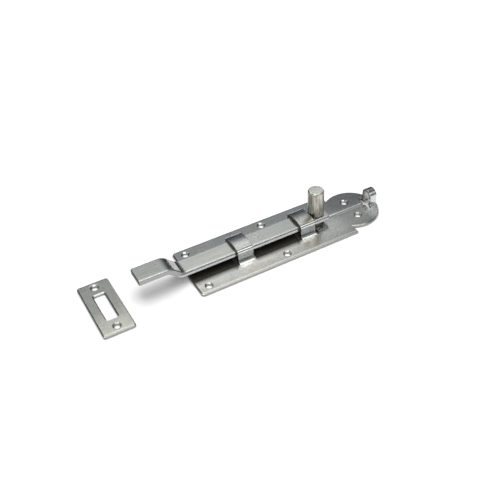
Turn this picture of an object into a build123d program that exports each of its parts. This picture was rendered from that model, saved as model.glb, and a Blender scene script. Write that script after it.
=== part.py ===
from build123d import *
from math import atan2, sqrt, tan
import os

# Cranked barrel bolt with its keep, pressed and turned from zinc-plated steel.
# The bolt lies on its mounting face. X runs along it: -X is where the tongue shoots out,
# +X is the round head with the padlock loop. +Z points away from the door.
# The origin is the centre of the four body screws, on the mounting face.
# All sizes are in millimetres.

# Sheet that the base plate, its straps and its loop are pressed from
sheet = 2.0
edge_ease = 0.7

# Base plate outline
plate_width = 44.0
body_length = 113.0
nose_round = 2.0
shoulder_round = 1.4
head_radius = 18.5
head_offset = 9.5
notch_round = 0.4

# Seam between the two halves of the plate
seam_width = 1.6

# Screw holes, countersunk from above
screw_hole = 3.8
screw_sink = 5.4
sink_angle = 90.0
screw_margin = 7.2
screw_pitch = 55.2
screw_gauge = 33.2
head_screw_gauge = 16.0

# Flat bar of the bolt, and how high it runs above the plate
bar_width = 12.0
bar_thickness = 4.0
bar_edge_round = 0.8
bar_lift = 3.3
bar_corner = 1.0
tongue_width = 13.2
tongue_overhang = 32.4
tail_beyond_knob = 7.2

# Crank: the step in the bar, seen from the side
crank_rise = 7.3
crank_run = 8.0
crank_bend = 7.0
crank_from_nose = 1.9
crank_flare = 20.0

# Straps that guide the bar, crowned across it, and the bends of every strip
strap_length = 11.0
first_strap_from_nose = 31.9
strap_pitch = 45.7
strap_side_gap = 0.5
strap_top_gap = 0.2
strap_crown = 1.2
bend_inside = 1.0
shoulder_inside = 0.3
strip_edge_ease = 0.25
relief = 1.4
relief_round = 0.6
land = 0.3

# Padlock loop at the tip of the head
loop_length = 5.3
loop_opening = 5.0
loop_height = 12.4
loop_crown = 2.3

# Knob and its shank, and the foot under the bar
knob_diameter = 10.6
knob_height = 19.0
knob_top_ease = 0.8
knob_bottom_ease = 1.0
shank_diameter = 6.0
shank_head = 8.0
rest_gap = 0.2
slide_gap = 0.2
fit_gap = 0.02

# Foot rivet under the front half of the bar
foot_diameter = 10.0
foot_ease = 0.4
front_foot_from_strap = 7.3
front_shank = 5.0
front_shank_head = 7.0

# Keep that takes the tongue
keep_width = 20.0
keep_length = 46.9
keep_round = 1.5
keep_slot_width = 7.0
keep_slot_length = 23.0
keep_slot_round = 0.8
keep_screw_gauge = 36.6
keep_from_nose = 52.8

# Places along the plate that follow from the sizes
nose_x = -(screw_pitch / 2 + screw_margin)
shoulder_x = nose_x + body_length
head_x = shoulder_x + head_offset
body_mid_x = (nose_x + shoulder_x) / 2
strap_starts = [nose_x + first_strap_from_nose + i * strap_pitch for i in range(2)]
strap_outer_half = bar_width / 2 + strap_side_gap + sheet
strap_window_half = strap_outer_half + bend_inside + land

loop_outer_half = loop_opening / 2 + sheet
loop_window_half = loop_outer_half + bend_inside + land
loop_end_x = head_x + sqrt(head_radius**2 - loop_window_half**2)
loop_start_x = loop_end_x - loop_length

# Levels of the bar, and places on it
bar_bottom = sheet + bar_lift
bar_top = bar_bottom + bar_thickness
bar_middle = bar_bottom + bar_thickness / 2
strap_leg = strap_outer_half - sheet / 2
strap_inner_arch = (strap_leg**2 + strap_crown**2) / (2 * strap_crown) - sheet / 2
bar_flat_half = bar_width / 2 - bar_edge_round
crown_over_bar = strap_inner_arch - sqrt(strap_inner_arch**2 - bar_flat_half**2)
strap_top = bar_top + strap_top_gap + crown_over_bar + sheet
foot_bottom = sheet + slide_gap
tongue_x = nose_x - tongue_overhang
knob_x = strap_starts[1] + strap_length + rest_gap + knob_diameter / 2
tail_x = knob_x + tail_beyond_knob
front_foot_x = strap_starts[0] + strap_length + front_foot_from_strap
crank_angle = atan2(crank_rise, crank_run)
crank_end_x = nose_x - crank_from_nose
crank_low_x = crank_end_x - crank_bend * tan(crank_angle / 2)
crank_high_x = crank_low_x - crank_run
keep_x = nose_x - keep_from_nose


def strip_bridge(length, outer_half, top, crown):
    """A strip of the sheet, bent up, over in a crown and down again, with its long edges eased.

    Its feet run on into the plate, past the eased edge of the window.
    """
    middle = sheet / 2
    leg = outer_half - middle
    shoulder = top - middle - crown
    end = outer_half + bend_inside + land + edge_ease
    with BuildPart() as bridge:
        with BuildSketch(Plane.YZ):
            with BuildLine() as course:
                Polyline((-end, middle), (-leg, middle), (-leg, shoulder))
                ThreePointArc((-leg, shoulder), (0, top - middle), (leg, shoulder))
                Polyline((leg, shoulder), (leg, middle), (end, middle))
                fillet(course.vertices().group_by(Axis.Y)[-1], radius=shoulder_inside + middle)
                feet = course.vertices().group_by(Axis.Y)[0].sort_by(Axis.X)[1:-1]
                fillet(feet, radius=bend_inside + middle)
            trace(line_width=sheet)
        extrude(amount=length)
        side_edges = bridge.faces().filter_by(Axis.X).edges()
        chamfer(side_edges - side_edges.group_by(Axis.Y)[0] - side_edges.group_by(Axis.Y)[-1],
                length=strip_edge_ease)
    return bridge.part


strap = strip_bridge(strap_length, strap_outer_half, strap_top, strap_crown)
loop = strip_bridge(loop_length, loop_outer_half, loop_height, loop_crown)

# Base plate: the blank, its seam and windows, then the strips that join its halves
with BuildPart() as base_plate:
    with BuildSketch() as blank:
        with Locations((body_mid_x, 0)):
            Rectangle(body_length, plate_width)
        with Locations((head_x, 0)):
            Circle(head_radius)
        nose, shoulder = blank.vertices().group_by(Axis.X)[:2]
        across_shoulder = shoulder.sort_by(Axis.Y)
        fillet(nose, radius=nose_round)
        fillet([across_shoulder[0], across_shoulder[-1]], radius=shoulder_round)
        fillet(across_shoulder[1:-1], radius=notch_round)
    extrude(amount=sheet)

    with BuildSketch():
        seam_length = loop_start_x - nose_x
        with Locations((nose_x + seam_length / 2, 0)):
            Rectangle(seam_length, seam_width)
        with Locations(*[(start + strap_length / 2, 0) for start in strap_starts]):
            RectangleRounded(strap_length + 2 * relief, 2 * strap_window_half, relief_round)
        with Locations((loop_start_x - relief + head_radius / 2, 0)):
            RectangleRounded(head_radius, 2 * loop_window_half, relief_round)
    extrude(amount=sheet, mode=Mode.SUBTRACT)
    chamfer(base_plate.faces().group_by(Axis.Z)[-1].edges(), length=edge_ease)

    with Locations(*[(start, 0, 0) for start in strap_starts]):
        add(strap)
    with Locations((loop_start_x, 0, 0)):
        add(loop)

    with Locations((0, 0, sheet)):
        with GridLocations(screw_pitch, screw_gauge, 2, 2):
            CounterSinkHole(screw_hole / 2, screw_sink / 2, counter_sink_angle=sink_angle)
    with Locations((head_x, 0, sheet)):
        with GridLocations(0, head_screw_gauge, 1, 2):
            CounterSinkHole(screw_hole / 2, screw_sink / 2, counter_sink_angle=sink_angle)
base_plate.part.label = "base_plate"

# Bolt bar: the cranked side view, trimmed to its outline seen from above
with BuildPart() as bolt_bar:
    with BuildSketch(Plane.XZ):
        with BuildLine():
            FilletPolyline(
                (tongue_x, bar_middle + crank_rise),
                (crank_high_x, bar_middle + crank_rise),
                (crank_low_x, bar_middle),
                (tail_x, bar_middle),
                radius=crank_bend,
            )
        trace(line_width=bar_thickness)
    extrude(amount=tongue_width, both=True)
    with BuildSketch():
        with BuildLine():
            near_side = FilletPolyline(
                (tongue_x, 0),
                (tongue_x, -tongue_width / 2),
                (crank_high_x, -tongue_width / 2),
                (crank_end_x, -bar_width / 2),
                (tail_x, -bar_width / 2),
                (tail_x, 0),
                radius=[bar_corner, crank_flare, crank_flare, bar_corner],
            )
            mirror(near_side, about=Plane.XZ)
        make_face()
    extrude(amount=bar_top + crank_rise, mode=Mode.INTERSECT)
    upright = bolt_bar.edges().filter_by(Axis.Z)
    across = bolt_bar.edges().filter_by(Axis.Y).filter_by(lambda e: tongue_x < e.center().X < tail_x)
    fillet(bolt_bar.edges() - upright - across, radius=bar_edge_round)
    with Locations((knob_x, 0, bar_top)):
        Hole(shank_diameter / 2 + fit_gap)
    with Locations((front_foot_x, 0, bar_top)):
        CounterSinkHole(front_shank / 2 + fit_gap, front_shank_head / 2 + fit_gap, counter_sink_angle=sink_angle)
bolt_bar.part.label = "bolt_bar"

# Knob: a plain turned head, and a shank that goes down through bar and foot
with BuildPart() as knob:
    with BuildSketch(Plane.XZ):
        with BuildLine():
            Polyline(
                (knob_x, foot_bottom),
                (knob_x + shank_head / 2, foot_bottom),
                (knob_x + shank_diameter / 2, foot_bottom + (shank_head - shank_diameter) / 2),
                (knob_x + shank_diameter / 2, bar_top),
                (knob_x + knob_diameter / 2 - knob_bottom_ease, bar_top),
                (knob_x + knob_diameter / 2, bar_top + knob_bottom_ease),
                (knob_x + knob_diameter / 2, bar_top + knob_height - knob_top_ease),
                (knob_x + knob_diameter / 2 - knob_top_ease, bar_top + knob_height),
                (knob_x, bar_top + knob_height),
                close=True,
            )
        make_face()
    revolve(axis=Axis((knob_x, 0, 0), (0, 0, 1)))
knob.part.label = "knob"

# Foot that the knob's shank holds under the bar
with BuildPart() as knob_foot:
    with BuildSketch(Plane.XY.offset(foot_bottom)):
        with Locations((knob_x, 0)):
            Circle(foot_diameter / 2)
            Circle(shank_diameter / 2 + fit_gap, mode=Mode.SUBTRACT)
    extrude(amount=bar_bottom - foot_bottom)
    lower_rims = knob_foot.edges().group_by(Axis.Z)[0].sort_by(SortBy.RADIUS)
    chamfer(lower_rims[0], length=(shank_head - shank_diameter) / 2)
    chamfer(lower_rims[-1], length=foot_ease)
knob_foot.part.label = "knob_foot"

# Foot rivet under the front half of the bar, its shank closed flush with the top
with BuildPart() as front_foot:
    with BuildSketch(Plane.XZ):
        with BuildLine():
            Polyline(
                (front_foot_x, foot_bottom),
                (front_foot_x + foot_diameter / 2, foot_bottom),
                (front_foot_x + foot_diameter / 2, bar_bottom),
                (front_foot_x + front_shank / 2, bar_bottom),
                (front_foot_x + front_shank / 2, bar_top - (front_shank_head - front_shank) / 2),
                (front_foot_x + front_shank_head / 2, bar_top),
                (front_foot_x, bar_top),
                close=True,
            )
        make_face()
    revolve(axis=Axis((front_foot_x, 0, 0), (0, 0, 1)))
    chamfer(front_foot.edges().group_by(Axis.Z)[0], length=foot_ease)
front_foot.part.label = "front_foot"

# Keep: the slotted plate that takes the tongue
with BuildPart() as keep_plate:
    with BuildSketch():
        with Locations((keep_x, 0)):
            RectangleRounded(keep_width, keep_length, keep_round)
            RectangleRounded(keep_slot_width, keep_slot_length, keep_slot_round, mode=Mode.SUBTRACT)
    extrude(amount=sheet)
    chamfer(keep_plate.faces().sort_by(Axis.Z)[-1].edges(), length=edge_ease)
    with Locations((keep_x, 0, sheet)):
        with GridLocations(0, keep_screw_gauge, 1, 2):
            CounterSinkHole(screw_hole / 2, screw_sink / 2, counter_sink_angle=sink_angle)
keep_plate.part.label = "keep_plate"

os.makedirs("parts", exist_ok=True)
export_step(base_plate.part, "parts/base_plate.step")
export_step(bolt_bar.part, "parts/bolt_bar.step")
export_step(knob.part, "parts/knob.step")
export_step(knob_foot.part, "parts/knob_foot.step")
export_step(front_foot.part, "parts/front_foot.step")
export_step(keep_plate.part, "parts/keep_plate.step")
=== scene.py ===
# %% [markdown]
# # A cranked barrel bolt in pressed and plated steel
#
# The object is a door bolt: a pressed base plate, a flat bar that is cranked upwards at its front,
# a turned knob, and a slotted keep that lies in front of it. The shapes are measured parts that were
# modelled before, so this lesson is about everything else that makes them look like metal: the view,
# the light, and finishes with grain, tint and wear, and with light and shade painted into them.

# %% Load the measured parts
from math import pi, radians
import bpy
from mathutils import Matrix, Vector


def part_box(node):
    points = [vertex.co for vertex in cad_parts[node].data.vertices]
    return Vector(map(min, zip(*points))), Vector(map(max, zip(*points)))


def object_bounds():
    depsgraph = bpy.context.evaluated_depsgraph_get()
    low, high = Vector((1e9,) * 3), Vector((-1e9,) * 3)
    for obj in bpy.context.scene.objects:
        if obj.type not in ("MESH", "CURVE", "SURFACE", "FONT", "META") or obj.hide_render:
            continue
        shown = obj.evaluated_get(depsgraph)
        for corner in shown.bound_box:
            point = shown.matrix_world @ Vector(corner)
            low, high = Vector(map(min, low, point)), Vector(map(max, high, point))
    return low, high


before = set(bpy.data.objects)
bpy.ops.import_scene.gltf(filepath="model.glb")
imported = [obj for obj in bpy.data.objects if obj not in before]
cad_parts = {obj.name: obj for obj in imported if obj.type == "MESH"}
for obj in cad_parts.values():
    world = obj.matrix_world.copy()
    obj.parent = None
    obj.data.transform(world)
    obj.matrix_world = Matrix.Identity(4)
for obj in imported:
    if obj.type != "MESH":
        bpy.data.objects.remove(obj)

from types import SimpleNamespace

import bpy
from mathutils import Matrix, Vector

cad_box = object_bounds()
for part_name in sorted(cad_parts):
    low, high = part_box(part_name)
    print(part_name, "measures", [round(side * 1000, 1) for side in high - low], "mm")

# %% [markdown]
# ## The view
#
# The bolt is seen from the left and from well above. A camera could be aimed by eye, but a small error
# shows at once on long straight edges. Here it is aimed by numbers: the point that it turns about, the
# direction that it looks from, its distance, and the lens.

# %% Aim the camera
view_point = Vector((0.04342, 0.0, 0.0))
view_azimuth = radians(-27.53)
view_height = radians(40.56)
view_roll = radians(-3.015)
view_distance = 0.47932
slide_right = 0.02917
slide_up = 0.01107

view_turn = (
    Matrix.Rotation(view_azimuth, 3, "Z")
    @ Matrix.Rotation(radians(90) - view_height, 3, "X")
    @ Matrix.Rotation(view_roll, 3, "Z")
)
to_right, to_top, backwards = view_turn.col
eye = view_point + backwards * view_distance - to_right * slide_right - to_top * slide_up

camera_data = bpy.data.cameras.new("camera")
camera_data.lens = 53.01
camera_data.sensor_width = 36.0
camera = bpy.data.objects.new("camera", camera_data)
bpy.context.scene.collection.objects.link(camera)
camera.matrix_world = Matrix.Translation(eye) @ view_turn.to_4x4()
bpy.context.scene.camera = camera
bpy.context.scene.view_settings.view_transform = "Standard"
print("the camera stands at", [round(c, 3) for c in eye], "m")

# %% [markdown]
# ## Building blocks for finishes
#
# Every finish of the bolt is a small network of shader nodes. It could be drawn by hand in the shader
# editor, but the six parts share most of it, so a handful of helpers keeps each recipe short. The first
# ones add a node, fill in its sockets and do arithmetic. They work in a material and in a world alike,
# because both own a tree of nodes.

# %% Add and join nodes
def new_material(name):
    """An empty material with its shader and its output joined, ready for a recipe."""
    material = bpy.data.materials.new(name)
    material.use_nodes = True
    return material, material.node_tree.nodes["Principled BSDF"]


def add_node(owner, kind, settings=None, **sockets):
    """Adds a node, sets its options and fills its sockets: a value is set, an output is linked.

    A socket goes by its name, or by its number after an i where several share a name.
    """
    node = owner.node_tree.nodes.new(kind)
    for option, value in (settings or {}).items():
        setattr(node, option, value)
    for socket_name, value in sockets.items():
        number = socket_name[1:]
        socket = node.inputs[int(number)] if number.isdigit() else node.inputs[socket_name]
        if isinstance(value, bpy.types.NodeSocket):
            owner.node_tree.links.new(value, socket)
        else:
            socket.default_value = value
    return node


def join(owner, output, shader, socket_name):
    """Links an output to a named socket of the shader."""
    owner.node_tree.links.new(output, shader.inputs[socket_name])


def maths(owner, operation, first, second=0.0):
    """One step of arithmetic on numbers or outputs."""
    return add_node(owner, "ShaderNodeMath", {"operation": operation}, i0=first, i1=second).outputs[0]


def product(owner, first, *others):
    """Multiplies outputs and numbers, which also cuts one mask by another."""
    for other in others:
        first = maths(owner, "MULTIPLY", first, other)
    return first


print("nodes can be added and joined")

# %% [markdown]
# ## Masks
#
# A mask is a number from 0 to 1 that says where a gap, an edge or a span along the part is. Wear could
# be painted on the parts by hand, but a painting doesn't follow when a size changes. These masks
# measure instead: where a point lies on its part, and which way the surface looks there. Sizes are
# given in millimetres, because a worn edge has a real size.

# %% Measure the place and the direction of a point
def place(owner):
    """Outputs X, Y and Z of where a point lies on the part, in metres."""
    point = add_node(owner, "ShaderNodeTexCoord").outputs["Object"]
    return add_node(owner, "ShaderNodeSeparateXYZ", Vector=point).outputs


def beside(owner):
    """How far a point lies from the centre line of the bolt, on either side."""
    return maths(owner, "ABSOLUTE", place(owner)["Y"])


def rounded_direction(material, radius_mm):
    """The surface direction, as if every edge were rounded with that radius."""
    bevel = add_node(material, "ShaderNodeBevel", {"samples": 6}, Radius=radius_mm / 1000.0)
    return bevel.outputs["Normal"]


def facing(material, radius_mm=0.0):
    """Outputs X, Y and Z of the surface direction, with rounded edges where a radius is given."""
    if radius_mm:
        direction = rounded_direction(material, radius_mm)
    else:
        direction = add_node(material, "ShaderNodeNewGeometry").outputs["Normal"]
    return add_node(material, "ShaderNodeSeparateXYZ", Vector=direction).outputs


def spread(owner, value, low, high, to_low, to_high):
    """Stretches a value from low..high to to_low..to_high, and holds it there."""
    ramp = add_node(owner, "ShaderNodeMapRange", {"clamp": True}, Value=value)
    ends = (("From Min", low), ("From Max", high), ("To Min", to_low), ("To Max", to_high))
    for socket_name, number in ends:
        ramp.inputs[socket_name].default_value = number
    return ramp.outputs["Result"]


def fade(owner, where, start_mm, end_mm, first=0.0, last=1.0):
    """A number that goes from first to last between two places on the part."""
    return spread(owner, where, start_mm / 1000.0, end_mm / 1000.0, first, last)


def between(owner, where, spans_mm, soft_mm):
    """A mask that is 1 inside each of the spans, with soft ends."""
    inside = 0.0
    for start, end in spans_mm:
        begins = fade(owner, where, start, start + soft_mm)
        stops = fade(owner, where, end - soft_mm, end, 1.0, 0.0)
        inside = maths(owner, "MAXIMUM", inside, product(owner, begins, stops))
    return inside


print("masks can be measured")

# %% [markdown]
# ## Patterns and colours
#
# Rolled and drawn steel has lines along the way that it was worked, and plating has a fine sparkle.
# A photograph of metal could be laid over the part, but it would stretch and repeat. A noise pattern
# does neither, and it is stretched to the real size of a line or a grain. The same number can choose
# between two colours, and can be raised as a relief.

# %% Grain, colour and relief
def grain(material, size_mm, detail=2.0, offset=0.0):
    """A noise from 0 to 1 whose spots measure size_mm along X, Y and Z.

    Another offset gives another pattern of the same size.
    """
    point = add_node(material, "ShaderNodeTexCoord").outputs["Object"]
    stretched = add_node(
        material, "ShaderNodeMapping",
        Vector=point,
        Location=(offset, offset, offset),
        Scale=[1000.0 / side for side in size_mm],
    ).outputs["Vector"]
    noise = add_node(
        material, "ShaderNodeTexNoise",
        Vector=stretched, Scale=1.0, Detail=detail, Roughness=0.55,
    )
    return noise.outputs["Fac"]


def blend_colours(owner, how_much, first, second, way="MIX"):
    """Mixes two colours by a factor from 0 to 1."""
    mix = add_node(
        owner, "ShaderNodeMix", {"data_type": "RGBA", "blend_type": way},
        i0=how_much, i6=first, i7=second,
    )
    return mix.outputs[2]


def grey(material, tone):
    """The grey colour of a tone."""
    return add_node(material, "ShaderNodeCombineColor", Red=tone, Green=tone, Blue=tone).outputs[0]


def tone_ramp(owner, value, stops):
    """Grey tones along a value, each stop given by its place from 0 to 1 and its tone."""
    ramp = add_node(owner, "ShaderNodeValToRGB", Fac=value)
    elements = ramp.color_ramp.elements
    for index, (position, tone) in enumerate(stops):
        stop = elements[index] if index < 2 else elements.new(position)
        stop.position = position
        stop.color = (tone, tone, tone, 1)
    return ramp.outputs["Color"]


def relief(material, height, depth_mm, below):
    """Turns a height pattern into a bump of that depth, on top of another surface direction."""
    bump = add_node(
        material, "ShaderNodeBump",
        Height=height, Strength=1.0, Distance=depth_mm / 1000.0, Normal=below,
    )
    return bump.outputs["Normal"]


print("patterns and colours are ready")

# %% [markdown]
# ## The paper
#
# The bolt lies on white paper, as in a catalogue. A plane with a plain white would do, but its far
# corners get hardly any light from one lamp. So the paper gives off a little light of its own, and more
# of it far away. Under the two windows of the plate a shadow is painted on it: it is dark and gives off
# no light there, because the wall or door that a bolt sits on gets no light there.

# %% Lay the paper
paper_half = 2.0
paper_gap = 0.0001
paper_corners = [
    (-paper_half, -paper_half, 0), (paper_half, -paper_half, 0),
    (paper_half, paper_half, 0), (-paper_half, paper_half, 0),
]
paper_mesh = bpy.data.meshes.new("paper")
paper_mesh.from_pydata(paper_corners, [], [(0, 1, 2, 3)])
paper = bpy.data.objects.new("paper", paper_mesh)
bpy.context.scene.collection.objects.link(paper)
paper.location.z = cad_box[0][2] - paper_gap
print("paper lies at", round(paper.location.z * 1000, 2), "mm")

# %% Whiten the paper
paper_colour = (0.58, 0.57, 0.58, 1)
# The colour of the shadow painted on the paper under the two windows of the plate.
painted_shadow_colour = (0.11, 0.105, 0.085, 1)
painted_shadow_spans_mm = ((-20.0, 6.5), (25.0, 52.0))

paper_white, paper_shader = new_material("paper_white")
paper_shader.inputs["Roughness"].default_value = 0.9
paper_shader.inputs["Specular IOR Level"].default_value = 0.0
paper_shader.inputs["Emission Color"].default_value = (1, 1, 1, 1)

# A shadow is painted on the paper under the two windows: dark colour, and no light of its own there.
shadow_under_windows = product(
    paper_white,
    between(paper_white, place(paper_white)["X"], painted_shadow_spans_mm, 0.5),
    fade(paper_white, beside(paper_white), 12.0, 13.0, 1.0, 0.0),
)
paper_base = blend_colours(paper_white, shadow_under_windows, paper_colour, painted_shadow_colour)
join(paper_white, paper_base, paper_shader, "Base Color")

from_middle = add_node(
    paper_white, "ShaderNodeVectorMath", {"operation": "LENGTH"},
    i0=add_node(paper_white, "ShaderNodeTexCoord").outputs["Object"],
).outputs["Value"]
paper_outside_shadow = spread(paper_white, shadow_under_windows, 0.0, 1.0, 1.0, 0.0)
far_off = spread(paper_white, from_middle, 0.18, 0.60, 0.06, 1.0)
ray = add_node(paper_white, "ShaderNodeLightPath").outputs
seen = maths(paper_white, "MAXIMUM", ray["Is Camera Ray"], ray["Is Glossy Ray"])
own_light = product(paper_white, seen, paper_outside_shadow, far_off)
join(paper_white, own_light, paper_shader, "Emission Strength")
paper_mesh.materials.append(paper_white)
print("made", paper_white.name)

# %% [markdown]
# ## The lamp
#
# A bolt on white paper shows a soft shadow under its raised tongue. The sun or a point lamp would draw
# that shadow with a hard edge, so one flat lamp a metre above it does the work. It isn't mirrored in
# the metal: what the metal mirrors is painted in the next step.

# %% Hang the lamp
lamp_side = 1.0
lamp_brightness = 5.4
lamp_place = Vector((0.10, 0.13, 1.0))

lamp_data = bpy.data.lights.new("top_box", "AREA")
lamp_data.shape = "RECTANGLE"
lamp_data.size = lamp_side
lamp_data.size_y = lamp_side
lamp_data.energy = lamp_brightness * pi * lamp_side**2
lamp = bpy.data.objects.new("top_box", lamp_data)
bpy.context.scene.collection.objects.link(lamp)
lamp.location = lamp_place
lamp.rotation_euler = (-lamp_place).to_track_quat("-Z", "Y").to_euler()
lamp.visible_glossy = False
print("the lamp hangs at", [round(c, 2) for c in lamp_place], "m")

# %% [markdown]
# ## The room
#
# Polished metal has hardly any colour of its own: it shows what stands around it. Lamps all round the
# bolt could be moved until their reflections fit, but each of them would also light the paper. So the
# room is painted instead, as an arch of tones: from the floor behind the bolt, over the top, to the
# floor in front. A level plate mirrors the arch at about 44 degrees, just where the paint turns from
# dark to bright, so a slope of one degree in the sheet is already visible. To the right, where the head
# of the plate looks, the paint gets darker. The tones were set to match the photo from its side.
# Seen from lower down, in front or behind, the metal mirrors a dark end of the arch. Where the eye
# looks past the paper, the room is plain white.

# %% Paint the room
arch_tones = (
    (0, 0.08), (18, 0.07), (28, 0.13), (36, 0.22), (40, 0.36), (43, 0.45), (46, 0.58), (48, 0.74),
    (51, 1.00), (56, 1.14), (64, 1.14), (78, 1.05), (86, 0.55), (95, 0.18), (112, 0.22), (118, 2.10),
    (122, 3.20), (128, 2.80), (136, 1.35), (145, 0.80), (152, 0.45), (160, 0.25), (180, 0.20),
)
right_tones = ((0.43, 1.0), (0.455, 0.86), (0.48, 0.66), (0.51, 0.50), (0.54, 0.42))
dim_tone = 0.40
cool_shade = (0.86, 1.00, 1.08, 1)
warm_light = (1.00, 1.00, 0.955, 1)

room = bpy.data.worlds.new("room")
bpy.context.scene.world = room
room.use_nodes = True
background = room.node_tree.nodes["Background"]

way = add_node(room, "ShaderNodeTexCoord").outputs["Generated"]
axes = add_node(room, "ShaderNodeSeparateXYZ", Vector=way).outputs
half_turns = maths(room, "DIVIDE", maths(room, "ARCTAN2", axes["Z"], axes["Y"]), pi)
arch = tone_ramp(room, half_turns, [(angle / 180, tone) for angle, tone in arch_tones])
bright = product(room, arch, spread(room, axes["X"], 0.33, 0.58, 1.0, 0.45))
dim = maths(room, "MINIMUM", arch, dim_tone)
wall = tone_ramp(room, axes["X"], right_tones)
painted = product(room, maths(room, "MAXIMUM", bright, dim), wall)
warmth = spread(room, painted, 0.10, 0.80, 0.0, 1.0)
tint = blend_colours(room, warmth, cool_shade, warm_light)

looked_at = add_node(room, "ShaderNodeLightPath").outputs["Is Camera Ray"]
join(room, blend_colours(room, looked_at, tint, (1, 1, 1, 1)), background, "Color")
strength = add_node(room, "ShaderNodeMix", i0=looked_at, i2=painted, i3=1.0).outputs[0]
join(room, strength, background, "Strength")
print("the room has", len(arch_tones), "tones from floor to floor")

# %% [markdown]
# ## Zinc plate, close up
#
# The sheet, the bar, the rivet and the keep are plated with bright zinc. Close up it isn't one grey: the
# rolling leaves fine lines along the metal, the plating leaves a fine sparkle, and its clear passivation
# tints it faintly blue, pink and green in clouds. One plain grey with a low roughness would look like
# chrome. Here three tints are mixed by two noises, and lines and sparkle darken and lighten them.
#
# A finish is kept as a small bundle while it is made, so that each piece of the bolt can add its own
# wear before the last step joins everything to the shader.

# %% Begin a zinc finish
cloud_mm = (14, 6, 6)
small_cloud_mm = (9, 5, 5)
edge_begins = 0.995
edge_is_full = 0.90


def soft_edges(material, radius_mm, beyond_mm):
    """The surface direction with rounded edges, and a mask that is 1 along those edges.

    Only edges further than beyond_mm from the centre line are rounded.
    """
    rounded = rounded_direction(material, radius_mm)
    surface = add_node(material, "ShaderNodeNewGeometry").outputs["Normal"]
    if beyond_mm:
        outside = fade(material, beside(material), beyond_mm, beyond_mm + 0.5)
        rounded = add_node(
            material, "ShaderNodeMix", {"data_type": "VECTOR"}, i0=outside, i4=surface, i5=rounded,
        ).outputs[1]
    alike = add_node(
        material, "ShaderNodeVectorMath", {"operation": "DOT_PRODUCT"}, i0=rounded, i1=surface,
    ).outputs["Value"]
    return rounded, spread(material, alike, edge_is_full, edge_begins, 1.0, 0.0)


def begin_zinc(name, tints, rolled_mm, sparkle_mm, edge_mm, beyond_mm=0.0, line=0.05, speck=0.17):
    """Clouds of three tints, with the shade of rolling lines and sparkle, before any wear.

    The last two numbers say how strongly the lines and the sparkle show.
    """
    material, shader = new_material(name)
    direction, edges = soft_edges(material, edge_mm, beyond_mm)
    lines = grain(material, rolled_mm, 3.0)
    specks = grain(material, (sparkle_mm,) * 3, 2.0, offset=7.0)
    shade = product(
        material,
        spread(material, lines, 0.3, 0.7, 1.0 - line * 1.4, 1.0 + line * 0.8),
        spread(material, specks, 0.3, 0.7, 1.0 - speck * 1.15, 1.0 + speck * 0.85),
    )
    clouds = spread(material, grain(material, cloud_mm, 3.0), 0.35, 0.65, 0.0, 1.0)
    small_clouds = grain(material, small_cloud_mm, 3.0, offset=4.0)
    small_clouds = spread(material, small_clouds, 0.50, 0.72, 0.0, 1.0)
    colour = blend_colours(material, clouds, tints[0], tints[1])
    colour = blend_colours(material, small_clouds, colour, tints[2])
    return SimpleNamespace(
        material=material, shader=shader, direction=direction, edges=edges,
        lines=lines, sparkle_mm=sparkle_mm, shade=shade, colour=colour,
    )


def paint(finish, mask, colour):
    """Lays a colour over a finish where the mask is 1."""
    finish.colour = blend_colours(finish.material, mask, finish.colour, colour)


def shade_by(finish, *factors):
    """Darkens or lightens the bare metal of a finish by each factor in turn."""
    finish.shade = product(finish.material, finish.shade, *factors)


print("a zinc finish can begin")

# %% [markdown]
# ## Wear, dirt and painted shade
#
# A bolt that was handled has edges worn bright, and dirt in its narrow gaps. The dark laid in the gaps
# also paints the shade that falls there. Both could be masks drawn for this one shape. The edge mask
# compares the surface direction with its rounded copy instead, and the gap mask asks how much open air a
# point sees. They find edges and gaps on any part. The other places that are painted brighter or darker
# stand in for light, shade and reflections, and were set against the photo.

# %% Weather and polish a zinc finish
worn_bright = (0.88, 0.88, 0.86, 1)
# The dark laid in narrow gaps: dirt, and the shade that falls there, painted in.
gap_dirt = (0.24, 0.23, 0.19, 1)
metal_under_dirt = 0.75
edge_wear = 0.6
smear_mm = (5, 3, 3)


def crevices(material, reach_mm):
    """A mask that is 1 deep in gaps and holes narrower than reach_mm, for grime and painted shade."""
    open_air = add_node(
        material, "ShaderNodeAmbientOcclusion", {"samples": 8}, Distance=reach_mm / 1000.0,
    ).outputs["AO"]
    return spread(material, open_air, 0.20, 0.46, 1.0, 0.0)


def weather(finish, gap_mm=7.0):
    """Shades the metal, wears its edges bright and lays grime and painted shade in gaps narrower than
    gap_mm.
    """
    material = finish.material
    shade_colour = grey(material, finish.shade)
    finish.colour = blend_colours(material, 1.0, finish.colour, shade_colour, "MULTIPLY")
    paint(finish, product(material, finish.edges, edge_wear), worn_bright)
    # The gap mask lays dirt and painted shade.
    finish.dirt = crevices(material, gap_mm)
    paint(finish, finish.dirt, gap_dirt)


def polish(finish, roughness, sparkle_depth_mm, line_depth_mm=0.002):
    """Joins a zinc finish to its shader: colour, gloss and relief; less metallic under grime and painted
    shade.
    """
    material = finish.material
    join(material, finish.colour, finish.shader, "Base Color")
    metallic = spread(material, finish.dirt, 0.0, 1.0, 1.0, metal_under_dirt)
    join(material, metallic, finish.shader, "Metallic")
    smears = grain(material, smear_mm, 4.0, offset=9.0)
    gloss = spread(material, smears, 0.3, 0.7, roughness * 0.8, roughness * 1.25)
    join(material, gloss, finish.shader, "Roughness")
    sparkle = grain(material, (finish.sparkle_mm,) * 3, 1.0, offset=2.0)
    bumps = relief(material, sparkle, sparkle_depth_mm, finish.direction)
    bumps = relief(material, finish.lines, line_depth_mm, bumps)
    join(material, bumps, finish.shader, "Normal")
    print("made", material.name)


print("zinc can be weathered and polished")

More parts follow.
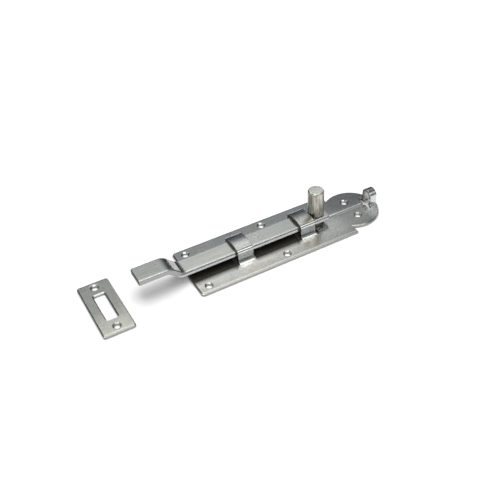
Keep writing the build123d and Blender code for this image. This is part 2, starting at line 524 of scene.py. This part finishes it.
# %% [markdown]
# ## Sheared and drilled faces
#
# Where sheet is cut, its edge is a torn, dull grey, darkened further by painted shade, and the two
# edges of each strap are painted nearly black as shade.
# These faces could get a material slot of their own. They all stand upright, though, so a look at the
# surface direction finds them, and the finish stays in one piece.

# %% Masks for cut faces
# Cut faces: dull grey, darkened further by painted shade.
cut_grey_and_shade = (0.34, 0.34, 0.33, 1)


def cut_edges(material, below_mm):
    """A mask that is 1 on upright faces up to that height, where the sheet was sheared or drilled."""
    upright = spread(material, maths(material, "ABSOLUTE", facing(material)["Z"]), 0.2, 0.5, 1.0, 0.0)
    low_down = fade(material, place(material)["Z"], below_mm, below_mm + 0.2, 1.0, 0.0)
    return product(material, upright, low_down)


def sheared_ends(material, until_mm):
    """A mask that is 1 on faces that look along the bolt, such as the two edges of each strap."""
    along = maths(material, "ABSOLUTE", facing(material)["X"])
    looks_along = spread(material, along, 0.6, 0.85, 0.0, 1.0)
    before_loop = fade(material, place(material)["X"], until_mm, until_mm + 0.5, 1.0, 0.0)
    return product(material, looks_along, before_loop)


print("cut faces can be found")

# %% [markdown]
# ## What the press does to sheet
#
# A press never leaves sheet quite flat. It sags a little to both sides of the middle, it is pulled over
# at its long rims, and it curves up where a strap is folded out of it. Displacing the mesh would show
# this too, but the vertices of a measured part stay where they are. So only the surface direction is
# turned: on the plate by about five degrees in the near half, by one in the far half, by nearly five
# more at the rims and by about forty in the folds. Five degrees is more than a press would leave in
# flat sheet. It was set so, because it gives the photo's tones in this painted room.

# %% Turn the surface direction
sheet_top_mm = 2.2
rim_bevel_mm = 2.2
short_rim_bevel_mm = 0.7
rims_from_mm = 19.6
rim_slope = 0.08
# A painted highlight on the near rim and painted shade on the short rims.
near_rim_highlight = (0.90, 0.90, 0.88, 1)
short_rim_shade = (0.17, 0.17, 0.16, 1)
fold_slope = -0.85
fold_begins_mm = -11.1
fold_ends_mm = -7.0


def tipped(material, direction, sideways, upwards=0.0):
    """A surface direction, pushed along Y and Z."""
    push = add_node(material, "ShaderNodeCombineXYZ", Y=sideways, Z=upwards).outputs[0]
    pushed = add_node(material, "ShaderNodeVectorMath", {"operation": "ADD"}, i0=direction, i1=push)
    return add_node(
        material, "ShaderNodeVectorMath", {"operation": "NORMALIZE"}, i0=pushed.outputs["Vector"],
    ).outputs["Vector"]


def sagging(finish, near_mm, far_mm, near_slope, far_slope, below_mm, upwards=0.0):
    """Slopes the surface across the bolt: one slope at the near side, another at the far side."""
    material = finish.material
    where = place(material)
    slope = fade(material, where["Y"], near_mm, far_mm, near_slope, far_slope)
    low_down = fade(material, where["Z"], below_mm, below_mm + 0.8, 1.0, 0.0)
    finish.direction = tipped(material, finish.direction, product(material, slope, low_down), upwards)


def rolled_over(finish):
    """Tips the long rims of a sheet outwards, paints a highlight on the near one and shade on its short
    edges.
    """
    material = finish.material
    outwards = facing(material, rim_bevel_mm)["Y"]
    low_down = fade(material, place(material)["Z"], sheet_top_mm, sheet_top_mm + 0.4, 1.0, 0.0)
    outside = fade(material, beside(material), rims_from_mm, rims_from_mm + 0.6)
    level = spread(material, facing(material)["Z"], 0.60, 0.97, 0.0, 1.0)
    long_rims = product(material, level, low_down, outside)
    slope = spread(material, outwards, -0.30, 0.30, -rim_slope, rim_slope)
    finish.direction = tipped(material, finish.direction, product(material, slope, long_rims))
    # Painted highlight on the near long rim.
    near_side = spread(material, outwards, -0.30, -0.05, 1.0, 0.0)
    paint(finish, product(material, near_side, long_rims), near_rim_highlight)
    # Painted shade on the short rims.
    lengthwise = maths(material, "ABSOLUTE", facing(material, short_rim_bevel_mm)["X"])
    short_rims = spread(material, lengthwise, 0.15, 0.45, 0.0, 0.35)
    paint(finish, product(material, short_rims, low_down), short_rim_shade)


def folded(finish, spans_mm):
    """Turns the sheet up to the viewer at the foot of each near strap leg, as its fold does."""
    material = finish.material
    where = place(material)
    wider_spans_mm = [(start - 0.3, end + 0.3) for start, end in spans_mm]
    foot = product(
        material,
        between(material, where["X"], wider_spans_mm, 0.3),
        fade(material, where["Y"], fold_begins_mm, fold_begins_mm + 0.3),
        fade(material, where["Y"], fold_ends_mm - 1.0, fold_ends_mm, 1.0, 0.0),
        fade(material, where["Z"], 2.1, 2.4, 1.0, 0.0),
    )
    finish.direction = tipped(material, finish.direction, product(material, foot, fold_slope))


print("sheet can sag, roll over and fold")

# %% [markdown]
# ## The base plate
#
# The plate is one pressed sheet. Beside the bar, between the straps, the shade and the dark reflection
# under the bar are painted on it as a dark band. Its near rim and its round head are painted a little
# darker as shade, its tip gets a painted highlight, and the upright legs of the straps are painted
# lighter as light that falls on them. The band could be a drawn stain, but it always lies in the same
# place, so two spans along the plate and a fade away from the bar describe it. Under it the sheet is
# less metallic, so that it mirrors less of the room and looks dark.

# %% Finish the base plate
sheet_tints = ((0.60, 0.62, 0.63, 1), (0.68, 0.67, 0.64, 1), (0.66, 0.65, 0.65, 1))
strap_spans_mm = ((-2.9, 8.1), (42.8, 53.8))
shade_band_spans_mm = ((-40, -2.9), (8.1, 42.8))
shade_band_dark = (0.042, 0.038, 0.028, 1)
# The two edges of each strap are painted nearly black as shade.
strap_edge_shade = (0.04, 0.04, 0.038, 1)
loop_begins_mm = 60.0
cut_height_mm = 1.25

sheet = begin_zinc("sheet_zinc", sheet_tints, rolled_mm=(20, 0.5, 0.5), sparkle_mm=0.9, edge_mm=0.25)
sheet_zinc = sheet.material
where = place(sheet_zinc)

# Painted light and shade: a highlight at the tip, shade on the near rim and head, light on the legs.
tip_highlight_place = product(
    sheet_zinc,
    fade(sheet_zinc, where["X"], 92.5, 99.0),
    fade(sheet_zinc, where["Y"], -13.0, -1.0, 1.0, 0.0),
)
lit_leg_place = product(
    sheet_zinc,
    between(sheet_zinc, where["X"], strap_spans_mm, 0.3),
    between(sheet_zinc, where["Z"], ((2.6, 10.0),), 0.8),
)
near_rim_painted_shade = fade(sheet_zinc, where["Y"], -20.0, -14.0, 0.84, 1.0)
head_painted_shade = fade(sheet_zinc, where["X"], 70.0, 79.0, 1.0, 0.78)
tip_painted_highlight = spread(sheet_zinc, tip_highlight_place, 0.0, 1.0, 1.0, 1.9)
leg_painted_light = spread(sheet_zinc, lit_leg_place, 0.0, 1.0, 1.0, 1.35)
shade_by(sheet, near_rim_painted_shade, head_painted_shade, tip_painted_highlight, leg_painted_light)
weather(sheet)

# A band of painted shade and dark reflection beside the bar.
shade_band = product(
    sheet_zinc,
    between(sheet_zinc, where["X"], shade_band_spans_mm, 1.2),
    fade(sheet_zinc, beside(sheet_zinc), 9.9, 14.0, 0.98, 0.0),
    fade(sheet_zinc, where["Z"], 2.2, 3.0, 1.0, 0.0),
)
paint(sheet, shade_band, shade_band_dark)
sheet.dirt = maths(sheet_zinc, "MAXIMUM", sheet.dirt, shade_band)
# Painted shade on the strap edges and on the cut faces.
paint(sheet, sheared_ends(sheet_zinc, loop_begins_mm), strap_edge_shade)
paint(sheet, cut_edges(sheet_zinc, cut_height_mm), cut_grey_and_shade)
rolled_over(sheet)
sagging(sheet, -6, 6, -0.095, 0.02, below_mm=sheet_top_mm, upwards=0.03)
folded(sheet, strap_spans_mm)
polish(sheet, 0.22, sparkle_depth_mm=0.008)

# %% [markdown]
# ## The bar
#
# The bar is drawn steel, plated like the sheet. Drawing leaves long lines and hardly any sparkle, so the
# same recipe gets other numbers. Its upright sides are painted darker than its top, and darker upwards,
# as painted shade, its crank is painted darker as shade where it bends, and the sawn end of its tongue
# is dark. The shader softens its long edges, and leaves the fine joints round the rivet ends on its top
# crisp.

# %% Finish the bar
bar_tints = ((0.77, 0.78, 0.76, 1), (0.82, 0.81, 0.77, 1), (0.79, 0.80, 0.75, 1))
sawn_dark = (0.12, 0.12, 0.1164, 1)
crank_span_mm = ((-45.2, -38.2),)

bar = begin_zinc(
    "bar_zinc", bar_tints, rolled_mm=(30, 0.6, 0.6), sparkle_mm=1.2,
    edge_mm=0.5, beyond_mm=4.2, line=0.09, speck=0.04,
)
bar_zinc = bar.material
where = place(bar_zinc)

# The crank is painted darker as shade.
crank = between(bar_zinc, where["X"], crank_span_mm, 1.2)
crank_painted_shade = spread(bar_zinc, crank, 0.0, 1.0, 1.0, 0.62)
shade_by(bar, crank_painted_shade)
weather(bar, gap_mm=2.0)
# The upright sides are painted darker as shade, and darker towards the top.
upright = spread(bar_zinc, facing(bar_zinc)["Z"], 0.2, 0.6, 1.0, 0.0)
side_painted_shade = product(
    bar_zinc,
    fade(bar_zinc, where["X"], -45.0, -38.0, 0.56, 0.58),
    fade(bar_zinc, where["Z"], 7.2, 8.8, 1.0, 0.62),
)
paint(bar, upright, grey(bar_zinc, side_painted_shade))
sawn_end = fade(bar_zinc, where["X"], -67.0, -66.6, 1.0, 0.0)
paint(bar, sawn_end, sawn_dark)
side_lean = fade(bar_zinc, where["Z"], 5.3, 8.0, 0.60, 0.15)
sagging(bar, -6, 6, -0.03, -0.03, below_mm=10.0, upwards=side_lean)
polish(bar, 0.22, sparkle_depth_mm=0.003)

# %% [markdown]
# ## The rivet
#
# The rivet's thick head under the bar carries its front half. It has the plating of the bar, and it only
# ever shows in the bar's shadow, so that shadow is painted into its colour: dark up to the bar.

# %% Finish the rivet
rivet_painted_shadow = (0.10, 0.10, 0.097, 1)

rivet = begin_zinc("foot_zinc", bar_tints, rolled_mm=(30, 0.6, 0.6), sparkle_mm=1.2, edge_mm=0.03)
foot_zinc = rivet.material
weather(rivet)
# The bar's shadow is painted on the rivet head, dark up to the bar.
in_shadow = fade(foot_zinc, place(foot_zinc)["Z"], 5.4, 5.8, 1.0, 0.0)
paint(rivet, in_shadow, rivet_painted_shadow)
sagging(rivet, -6, 6, -0.03, -0.03, below_mm=10.0)
polish(rivet, 0.22, sparkle_depth_mm=0.003)

# %% [markdown]
# ## The keep
#
# The keep is the slotted plate on the door frame that the tongue shoots into. It could share the finish
# of the base plate, but it is a stamping of its own: its rolling lines run the other way, its zinc is
# warmer and duller, and it has no band of painted shade. Its cut faces get painted shade too. It sags
# only in its near half.

# %% Finish the keep
keep_tints = ((0.57, 0.57, 0.55, 1), (0.61, 0.61, 0.57, 1), (0.62, 0.62, 0.58, 1))
# The cut ends of the keep are painted darker as shade.
keep_edge_shade = (0.26, 0.26, 0.247, 1)

keep = begin_zinc(
    "keep_zinc", keep_tints, rolled_mm=(0.6, 16, 0.6), sparkle_mm=0.8, edge_mm=0.25, speck=0.11,
)
keep_zinc = keep.material
weather(keep, gap_mm=1.5)
paint(keep, sheared_ends(keep_zinc, loop_begins_mm), keep_edge_shade)
paint(keep, cut_edges(keep_zinc, cut_height_mm), cut_grey_and_shade)
rolled_over(keep)
sagging(keep, -24, -3, -0.10, 0.0, below_mm=2.5)
polish(keep, 0.26, sparkle_depth_mm=0.005)

# %% [markdown]
# ## Raw turned steel
#
# The knob and its foot are cut from drawn round bar and hardly plated: yellowish steel with long dark
# streaks, and brown stains that the drawing left. A striped picture could be wrapped round the knob, but
# it would show a seam. A noise that is stretched along the axis has none.

# %% A recipe for turned steel
# Grease in the gaps, and the shade that falls there, painted in.
grease_and_shade = (0.06, 0.055, 0.04, 1)
grease_and_shade_gap_mm = 3.0
stain_mm = (3, 3, 7)
streak_depth_mm = 0.02


def begin_steel(name, light, dark, streak_mm):
    """Drawn steel before wear: long streaks between a light and a dark tone, with brown stains."""
    material, shader = new_material(name)
    streaks = spread(material, grain(material, streak_mm, 4.0), 0.35, 0.68, 0.0, 1.0)
    stains = spread(material, grain(material, stain_mm, 4.0, offset=5.0), 0.48, 0.66, 0.0, 0.7)
    brown = (dark[0] * 0.8, dark[1] * 0.72, dark[2] * 0.6, 1)
    colour = blend_colours(material, streaks, light, dark)
    colour = blend_colours(material, stains, colour, brown)
    return SimpleNamespace(
        material=material, shader=shader, streaks=streaks, colour=colour,
        direction=rounded_direction(material, 0.5),
    )


def satin(finish, roughness):
    """Lays grime and painted shade in the gaps and joins a steel finish to its shader, with a satin
    gloss.
    """
    material = finish.material
    paint(finish, crevices(material, grease_and_shade_gap_mm), grease_and_shade)
    join(material, finish.colour, finish.shader, "Base Color")
    finish.shader.inputs["Metallic"].default_value = 1.0
    gloss = spread(material, finish.streaks, 0.0, 1.0, roughness * 0.85, roughness * 1.2)
    join(material, gloss, finish.shader, "Roughness")
    bumps = relief(material, finish.streaks, streak_depth_mm, finish.direction)
    join(material, bumps, finish.shader, "Normal")
    print("made", material.name)


print("turned steel can be made")

# %% [markdown]
# ## The turned knob
#
# One side of the knob is painted lighter, as the side that light falls on, and its top, faced in the
# lathe, gets a painted highlight. Two slots on the mesh could divide them, but the lit side has no sharp
# border. So the finish gets lighter along a direction across the knob, and bright above the height where
# the highlight begins.

# %% Finish the knob and its foot
knob_light = (0.60, 0.59, 0.54, 1)
knob_dark = (0.26, 0.245, 0.20, 1)
top_painted_highlight = (0.97, 0.97, 0.94, 1)
top_highlight_from_mm = 28.0
lit_side_way = Vector((0.887, -0.462, 0.0))

knob = begin_steel("knob_steel", knob_light, knob_dark, streak_mm=(1.2, 1.2, 16))
knob_steel = knob.material

knob_low, knob_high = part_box("knob")
knob_axis = ((knob_low + knob_high) / 2).dot(lit_side_way)
across_knob = add_node(
    knob_steel, "ShaderNodeVectorMath", {"operation": "DOT_PRODUCT"},
    i0=add_node(knob_steel, "ShaderNodeTexCoord").outputs["Object"], i1=lit_side_way,
).outputs["Value"]
# Painted light: the side of the knob that light falls on is lighter.
side_painted_light = spread(knob_steel, across_knob, knob_axis - 0.0005, knob_axis + 0.0033, 0.84, 1.32)
knob.colour = blend_colours(knob_steel, 1.0, knob.colour, grey(knob_steel, side_painted_light), "MULTIPLY")
# A painted highlight on the top of the knob.
top_highlight = fade(knob_steel, place(knob_steel)["Z"], top_highlight_from_mm, top_highlight_from_mm + 0.3, 0.0, 0.9)
paint(knob, top_highlight, top_painted_highlight)
sagging(knob, -5.3, 5.3, -0.16, -0.02, below_mm=60.0)
satin(knob, 0.30)

# The foot is the knob's steel with the bar's shade painted in, so its tones are much darker.
shaded_foot_light = (0.22, 0.21, 0.18, 1)
shaded_foot_dark = (0.12, 0.11, 0.09, 1)
foot = begin_steel("foot_steel", shaded_foot_light, shaded_foot_dark, streak_mm=(1.0, 1.0, 5))
foot_steel = foot.material
satin(foot, 0.38)

# %% [markdown]
# ## Dress the parts
#
# Each measured part comes with a slot for its material. The shapes stay untouched: only the slots are
# filled, so the finishes move with the bolt when it slides.

# %% Give each part its finish
finishes = {
    "base_plate": sheet_zinc,
    "bolt_bar": bar_zinc,
    "knob": knob_steel,
    "knob_foot": foot_steel,
    "front_foot": foot_zinc,
    "keep_plate": keep_zinc,
}
for part_name, material in finishes.items():
    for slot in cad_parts[part_name].material_slots:
        slot.material = material
    print(part_name, "is", material.name)
